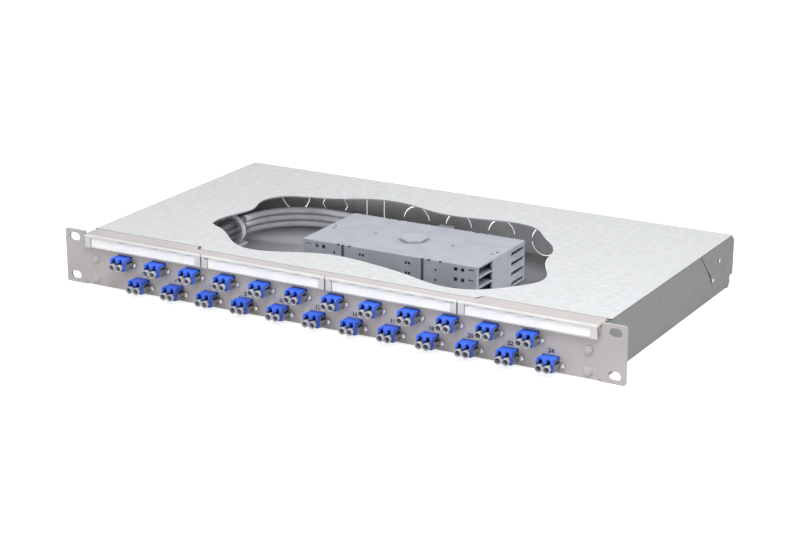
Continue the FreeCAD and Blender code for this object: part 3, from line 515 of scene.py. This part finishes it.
def make_adaptors(looks):
    xs = both([
        PORT_X - PORT_HALF, PORT_X + PORT_HALF, PORT_X - LATCH_HALF, PORT_X + LATCH_HALF,
        PORT_X - FERRULE_HALF, PORT_X + FERRULE_HALF, TOP_RECESS_HALF, CORNER_NOTCH_X,
        ADAPTOR_HALF_WIDTH, FLANGE_HALF, SIDE_RECESS_X,
    ])
    ys = sorted([
        ADAPTOR_FRONT, ADAPTOR_FRONT + LATCH_NOTCH, TOP_RECESS_FRONT, CORNER_NOTCH_FRONT,
        TOP_RECESS_REAR, ADAPTOR_FRONT + PORT_DEPTH, CORNER_NOTCH_REAR, 0,
        ADAPTOR_REAR - PORT_DEPTH, FLANGE_REAR, ADAPTOR_REAR, TONGUE_FRONT, TONGUE_REAR,
    ])
    zs = sorted([
        -ADAPTOR_HALF_HEIGHT, PORT_Z - PORT_HALF, PORT_Z - FERRULE_HALF, PORT_Z + FERRULE_HALF,
        PORT_Z + PORT_HALF, PORT_CEILING, LATCH_TOP, CORNER_NOTCH_Z, TOP_RECESS_Z,
        ADAPTOR_HALF_HEIGHT, SIDE_RECESS_LOW, SIDE_RECESS_HIGH,
    ])
    for group in range(ADAPTOR_COUNT // ADAPTORS_PER_NODE):
        mesh = bmesh.new()
        first = group * ADAPTORS_PER_NODE
        for x, z in ADAPTOR_PLACES[first:first + ADAPTORS_PER_NODE]:
            cell_faces(mesh, (xs, ys, zs), adaptor_solid, (x, 0, z))
        bmesh.ops.dissolve_limit(mesh, angle_limit=FLAT_ANGLE, verts=mesh.verts, edges=mesh.edges)
        piece = finished("adaptor_bodies_%d" % (group + 1), mesh, looks["adaptor_plastic"], "chassis",
                         bevel=ADAPTOR_BEVEL)
        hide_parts("adaptors_%d" % (group + 1))


# Clips

CLIP_SHEET = 0.3
CLIP_FRONT = -10.4
CLIP_REAR = -2.3
CLIP_TOP = 2.8
CLIP_BEVEL = 0.05
TONGUE_OUT = 0.9
TONGUE_LOW = -2.2
TONGUE_HIGH = 0.2


def clip_solid(x, y, z):
    """Says if the clip, a sheet round the adaptor's sides and underside, is filled there."""
    inside = abs(x) < ADAPTOR_HALF_WIDTH and z > -ADAPTOR_HALF_HEIGHT
    slot = SIDE_RECESS_LOW < z < SIDE_RECESS_HIGH and TONGUE_FRONT < y < TONGUE_REAR
    return not inside and not slot


def clip_tongue(mesh, x, z, side):
    """A sprung tongue, bent out of the clip's side towards the plate."""
    seat = side * (ADAPTOR_HALF_WIDTH + CLIP_SHEET)
    out = seat + side * TONGUE_OUT
    sheet = side * CLIP_SHEET
    profile = [
        (seat, TONGUE_FRONT),
        (out, TONGUE_REAR),
        (out - sheet, TONGUE_REAR),
        (seat - sheet, TONGUE_FRONT),
    ]
    low, high = [[mesh.verts.new(Vector((x + a, b, z + level)) * MM) for a, b in profile]
                 for level in (TONGUE_LOW, TONGUE_HIGH)]
    mesh.faces.new(low)
    mesh.faces.new(high)
    for number in range(len(profile)):
        after = (number + 1) % len(profile)
        mesh.faces.new([low[number], low[after], high[after], high[number]])


def make_clips(looks):
    mesh = bmesh.new()
    xs = both([ADAPTOR_HALF_WIDTH, ADAPTOR_HALF_WIDTH + CLIP_SHEET])
    ys = [CLIP_FRONT, TONGUE_FRONT, TONGUE_REAR, CLIP_REAR]
    bottom = -ADAPTOR_HALF_HEIGHT
    zs = [bottom - CLIP_SHEET, bottom, SIDE_RECESS_LOW, SIDE_RECESS_HIGH, CLIP_TOP]
    for x, z in ADAPTOR_PLACES:
        cell_faces(mesh, (xs, ys, zs), clip_solid, (x, 0, z))
        for side in MIRRORED:
            clip_tongue(mesh, x, z, side)
    piece = finished("spring_clips", mesh, looks["spring_steel"], "chassis",
                     bevel=CLIP_BEVEL, segments=1)
    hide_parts("adaptor_clips")


# Dust caps

CAP_SIDES = 32
CAP_FRONT = -16.6
CAP_SEAT = -13.1
CAP_RADIUS = 2.8
CAP_BORE = 2.15
CAP_BORE_END = -7.9
CAP_LIP = 0.2
CAP_SHANK = 2.2
CAP_SHANK_REAR = -7.1
CAP_WEB_HALF = 0.7
CAP_WEB_HEIGHT = 1.1


def make_caps(looks):
    """Two bored caps for each adaptor, joined by a web."""
    outline = [
        (0, CAP_BORE_END),
        (CAP_BORE, CAP_BORE_END),
        (CAP_BORE, CAP_FRONT + CAP_LIP),
        (CAP_BORE + CAP_LIP, CAP_FRONT),
        (CAP_RADIUS - CAP_LIP, CAP_FRONT),
        (CAP_RADIUS, CAP_FRONT + CAP_LIP),
        (CAP_RADIUS, CAP_SEAT - CAP_LIP),
        (CAP_RADIUS - CAP_LIP, CAP_SEAT),
        (CAP_SHANK, CAP_SEAT),
        (CAP_SHANK, CAP_SHANK_REAR - CAP_LIP),
        (CAP_SHANK - CAP_LIP, CAP_SHANK_REAR),
        (0, CAP_SHANK_REAR),
    ]
    web = (
        [-CAP_WEB_HALF, CAP_WEB_HALF],
        [CAP_FRONT + CAP_LIP, CAP_SEAT - CAP_LIP],
        [-CAP_WEB_HEIGHT, CAP_WEB_HEIGHT],
    )
    for number, (x, z) in enumerate(ADAPTOR_PLACES):
        mesh = bmesh.new()
        for side in MIRRORED:
            turned_faces(mesh, outline, (x + side * PORT_X, 0, z + PORT_Z), CAP_SIDES)
        cell_faces(mesh, web, lambda *_: True, (x, 0, z + PORT_Z))
        name = "%02d" % (number + 1)
        piece = finished("hollow_cap_" + name, mesh, looks["cap_plastic"], "cap_" + name)
        keep_edges_crisp(piece)
        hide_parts("dust_cap_" + name)


# Screws

SCREW_SIDES = 24
SCREW_OFFSET = 9.3
SCREW_Z = -1.5
SCREW_RADIUS = 2.1
SCREW_HEIGHT = 2.2
SCREW_RECESS = 0.7
SCREW_SHANK = 1.2
PANEL_SCREW_SIDES = 48
PANEL_SCREW_X = 212.5
PANEL_SCREW_Z = (-15.8, 0.2)
PANEL_SCREW_RADIUS = 3.5
PANEL_SCREW_HEIGHT = 1.45
PANEL_SCREW_RECESS = 0.4
PANEL_SCREW_SHANK = 1.7
PANEL_SCREW_END = 5.0
PIN_RADIUS = 0.75
PIN_EDGE = 0.2
PIN_FRONT = -3.4
PIN_REAR = -2.5

# Shares of a screw head's radius and height
DOME_STEPS = 7
DOME_RECESS = 0.22
DOME_CROWN = 0.26
DOME_RIM = 0.28


def dome(radius, height, recess, shank, shank_end):
    """The outline of a domed head with a small recess and a straight shank."""
    recess_y = PLATE_FRONT - height + recess
    outline = [(0, recess_y), (radius * DOME_RECESS, recess_y)]
    for step in range(1, DOME_STEPS + 1):
        turn = math.pi / 2 * step / DOME_STEPS
        out = DOME_CROWN + (1 - DOME_CROWN) * math.sin(turn)
        up = DOME_RIM + (1 - DOME_RIM) * math.cos(turn)
        outline.append((radius * out, PLATE_FRONT - height * up))
    return outline + [(radius, PLATE_FRONT), (shank, PLATE_FRONT), (shank, shank_end), (0, shank_end)]


def turned_piece(name, outline, places, sides, look):
    """One piece of equal turned shapes, at places of (x, z)."""
    mesh = bmesh.new()
    for x, z in places:
        turned_faces(mesh, outline, (x, 0, z), sides)
    piece = finished(name, mesh, look, "chassis")
    keep_edges_crisp(piece)
    return piece


def make_screws(looks):
    flange_places = [
        (x + side * SCREW_OFFSET, z + SCREW_Z) for x, z in ADAPTOR_PLACES for side in MIRRORED
    ]
    screw = dome(SCREW_RADIUS, SCREW_HEIGHT, SCREW_RECESS, SCREW_SHANK, FLANGE_REAR)
    turned_piece("adaptor_screws", screw, flange_places, SCREW_SIDES,
                 looks["fastener_steel"])

    panel_places = [(side * PANEL_SCREW_X, z) for side in MIRRORED for z in PANEL_SCREW_Z]
    screw = dome(PANEL_SCREW_RADIUS, PANEL_SCREW_HEIGHT, PANEL_SCREW_RECESS,
                 PANEL_SCREW_SHANK, PANEL_SCREW_END)
    screws = turned_piece("plate_screws", screw, panel_places, PANEL_SCREW_SIDES,
                          looks["plate_paint"])
    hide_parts("panel_screws")

    # A light pin in the middle of each plate screw, which also serves as a painted highlight
    pin = [
        (0, PIN_FRONT),
        (PIN_RADIUS - PIN_EDGE, PIN_FRONT),
        (PIN_RADIUS, PIN_FRONT + PIN_EDGE),
        (PIN_RADIUS, PIN_REAR),
        (0, PIN_REAR),
    ]
    turned_piece("plate_screw_pins_and_highlights", pin, panel_places, SCREW_SIDES,
                 looks["clip_plastic"])


# Fibre tubes

TUBE_COUNT = 3
TUBE_SIDES = 20
TUBE_RADIUS = 2.8
BEND_STEPS = 28
REAR_BEND = 52.0
FRONT_BEND = 50.0
FRONT_TUBE_END = -84.0


def level_bend(centre, radius, start, end):
    """Points along a level bend, angles in degrees."""
    spots = []
    for step in range(BEND_STEPS + 1):
        turn = math.radians(start + (end - start) * step / BEND_STEPS)
        spots.append(centre + Vector((radius * math.cos(turn), radius * math.sin(turn), 0)))
    return spots


def tube_path(node):
    """The tube's middle line, from its rear end to its front end, inside the box of its node."""
    low, high = [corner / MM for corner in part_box(node)]
    side_x = low.x + TUBE_RADIUS
    front_y = low.y + TUBE_RADIUS
    rear_y = high.y - TUBE_RADIUS
    z = (low.z + high.z) / 2
    path = [Vector((high.x, rear_y, z))]
    path += level_bend(Vector((side_x + REAR_BEND, rear_y - REAR_BEND, z)), REAR_BEND, 90, 180)
    path += level_bend(Vector((side_x + FRONT_BEND, front_y + FRONT_BEND, z)), FRONT_BEND, 180, 270)
    path.append(Vector((FRONT_TUBE_END, front_y, z)))
    return path


def swept_faces(mesh, path, radius, sides):
    """A round bar along a level path."""
    rings = []
    for index, spot in enumerate(path):
        before = path[max(index - 1, 0)]
        after = path[min(index + 1, len(path) - 1)]
        across = (after - before).normalized().cross(UP)
        ring = []
        for side in range(sides):
            turn = 2 * math.pi * side / sides
            offset = across * math.cos(turn) + UP * math.sin(turn)
            ring.append(mesh.verts.new((spot + offset * radius) * MM))
        rings.append(ring)
    for first, second in zip(rings, rings[1:]):
        for side in range(sides):
            after = (side + 1) % sides
            mesh.faces.new([first[side], first[after], second[after], second[side]])
    mesh.faces.new(rings[0])
    mesh.faces.new(rings[-1])


def make_tubes(looks):
    for number in range(1, TUBE_COUNT + 1):
        node = "fibre_tube_%d" % number
        mesh = bmesh.new()
        swept_faces(mesh, tube_path(node), TUBE_RADIUS, TUBE_SIDES)
        piece = finished("smooth_tube_%d" % number, mesh, looks["tube_plastic"], "chassis")
        keep_edges_crisp(piece)
        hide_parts(node)


# Port numbers

NUMBER_Z = -5.7
NUMBER_HEIGHT = 3.3
NUMBER_THICKNESS = 0.01
NUMBER_BOLDNESS = 0.16
NUMBER_SPACING = 1.05
NUMBER_LIFT = 0.02
FONT_SIZE_PER_HEIGHT = 1.37


def number_mesh(name, wording, place):
    """The wording as a thin upright mesh round the place, which is in millimetres."""
    text = bpy.data.curves.new(name, "FONT")
    text.body = wording
    text.size = NUMBER_HEIGHT * FONT_SIZE_PER_HEIGHT * MM
    text.align_x = "CENTER"
    text.align_y = "CENTER"
    text.extrude = NUMBER_THICKNESS * MM
    text.offset = NUMBER_BOLDNESS * MM
    text.space_character = NUMBER_SPACING
    model = link_object(name + "_outline", text)
    model.rotation_euler = (math.radians(90), 0, 0)
    model.location = Vector(place) * MM
    bpy.context.view_layer.update()
    data = bpy.data.meshes.new_from_object(model.evaluated_get(bpy.context.evaluated_depsgraph_get()))
    data.transform(model.matrix_world)
    bpy.data.objects.remove(model)
    data.materials.clear()
    return data


def make_numbers(looks):
    """Only the ports of the lower row are numbered."""
    for number, (x, z) in enumerate(ADAPTOR_PLACES, start=1):
        if z != ADAPTOR_LOW_Z:
            continue
        name = "port_number_%02d" % number
        data = number_mesh(name, str(number), (x, PLATE_FRONT - NUMBER_LIFT, NUMBER_Z))
        data.materials.append(looks["ink"])
        piece = link_object(name, data)
        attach(piece, "chassis")


# Light, floor and camera; lengths in metres and powers in watts

FLOOR_SIZE = 12.0
FLOOR_CELLS = 8
FLOOR_GREY = (0.6, 0.6, 0.6, 1)
FLOOR_GLOW = 0.75
AMBIENT = 0.46
WHITE = (1, 1, 1, 1)

# Name, place, target, width and height, power
LIGHTS = [
    ("key_light", (0.31, -0.24, 0.86), (0.05, 0.05, 0), (0.7, 0.5), 8.8),
    ("fill_light", (-0.9, -1.5, 0.7), (0, 0, 0), (1.2, 0.9), 9),
    ("back_light", (0.5, 1.7, 0.5), (0, 0.2, 0), (1.2, 0.9), 4),
    ("rear_room_light", (0, 0.176, 0.004), (0, 0.24, 0), (0.28, 0.02), 0.06),
    ("corner_light", (-0.15, 0.16, -0.002), (-0.16, 0.24, -0.002), (0.12, 0.012), 0.03),
    ("left_room_light", (-0.085, 0.12, 0.010), (-0.2, 0.12, 0.010), (0.11, 0.012), 0.08),
    ("right_room_light", (0.11, 0.12, 0.008), (0.2, 0.12, -0.01), (0.1, 0.02), 0.28),
    ("end_light", (0.19, 0.12, 0.008), (0.08, 0.13, 0), (0.1, 0.02), 0.03),
]


def shown_rays(nodes, links):
    """1 for rays that the camera sees directly, in gloss or through clear pieces."""
    rays = nodes.new("ShaderNodeLightPath")
    first = nodes.new("ShaderNodeMath")
    first.operation = "MAXIMUM"
    second = nodes.new("ShaderNodeMath")
    second.operation = "MAXIMUM"
    links.new(rays.outputs["Is Camera Ray"], first.inputs[0])
    links.new(rays.outputs["Is Glossy Ray"], first.inputs[1])
    links.new(first.outputs[0], second.inputs[0])
    links.new(rays.outputs["Is Transmission Ray"], second.inputs[1])
    return second.outputs[0]


def mix_by_rays(tree, hidden, shown, output):
    """The hidden shader lights the scene, and the shown one is what the camera sees."""
    mix = tree.nodes.new("ShaderNodeMixShader")
    tree.links.new(shown_rays(tree.nodes, tree.links), mix.inputs["Fac"])
    tree.links.new(hidden.outputs[0], mix.inputs[1])
    tree.links.new(shown.outputs[0], mix.inputs[2])
    tree.links.new(mix.outputs[0], output.inputs["Surface"])


def white_background(tree, strength):
    background = tree.nodes.new("ShaderNodeBackground")
    background.inputs["Color"].default_value = WHITE
    background.inputs["Strength"].default_value = strength
    return background


def make_world():
    world = bpy.data.worlds.new("studio")
    bpy.context.scene.world = world
    world.use_nodes = True
    tree = world.node_tree
    tree.nodes.clear()
    output = tree.nodes.new("ShaderNodeOutputWorld")
    mix_by_rays(tree, white_background(tree, AMBIENT), white_background(tree, 1.0), output)


def floor_material():
    """Matt grey that glows only for the camera, so that its edge melts into the background."""
    material = bpy.data.materials.new("floor_white")
    material.use_nodes = True
    tree = material.node_tree
    tree.nodes.clear()
    matt = tree.nodes.new("ShaderNodeBsdfDiffuse")
    matt.inputs["Color"].default_value = FLOOR_GREY
    glow = tree.nodes.new("ShaderNodeEmission")
    glow.inputs["Strength"].default_value = FLOOR_GLOW
    glowing = tree.nodes.new("ShaderNodeAddShader")
    output = tree.nodes.new("ShaderNodeOutputMaterial")
    tree.links.new(matt.outputs[0], glowing.inputs[0])
    tree.links.new(glow.outputs[0], glowing.inputs[1])
    mix_by_rays(tree, matt, glowing, output)
    return material


def make_floor():
    mesh = bmesh.new()
    bmesh.ops.create_grid(mesh, x_segments=FLOOR_CELLS, y_segments=FLOOR_CELLS, size=FLOOR_SIZE / 2)
    data = bpy.data.meshes.new("floor")
    mesh.to_mesh(data)
    mesh.free()
    data.materials.append(floor_material())
    floor = link_object("floor", data)
    floor.location = (0, 0, FLOOR_Z * MM)


def area_light(name, place, target, size, power):
    data = bpy.data.lights.new(name, "AREA")
    data.shape = "RECTANGLE"
    data.size, data.size_y = size
    data.energy = power
    lamp = link_object(name, data)
    lamp.location = place
    aim = Vector(target) - Vector(place)
    lamp.rotation_euler = aim.to_track_quat("-Z", "Y").to_euler()
    lamp.visible_camera = False
    lamp.visible_glossy = False


def make_camera():
    data = bpy.data.cameras.new("camera")
    data.sensor_width = SENSOR_WIDTH
    data.lens = CAMERA_LENS
    data.clip_start = CLIP_START
    data.clip_end = CLIP_END
    camera = link_object("camera", data)
    camera.location = CAMERA_PLACE
    camera.rotation_euler = (math.radians(90 - CAMERA_ELEVATION), 0, math.radians(CAMERA_TURN))
    bpy.context.scene.camera = camera


def main():
    bpy.context.scene.view_settings.view_transform = "Standard"
    make_camera()
    make_world()
    make_floor()
    for light in LIGHTS:
        area_light(*light)
    looks = make_materials()
    dress_frame(looks)
    make_adaptors(looks)
    make_clips(looks)
    make_caps(looks)
    make_screws(looks)
    make_tubes(looks)
    make_numbers(looks)


main()
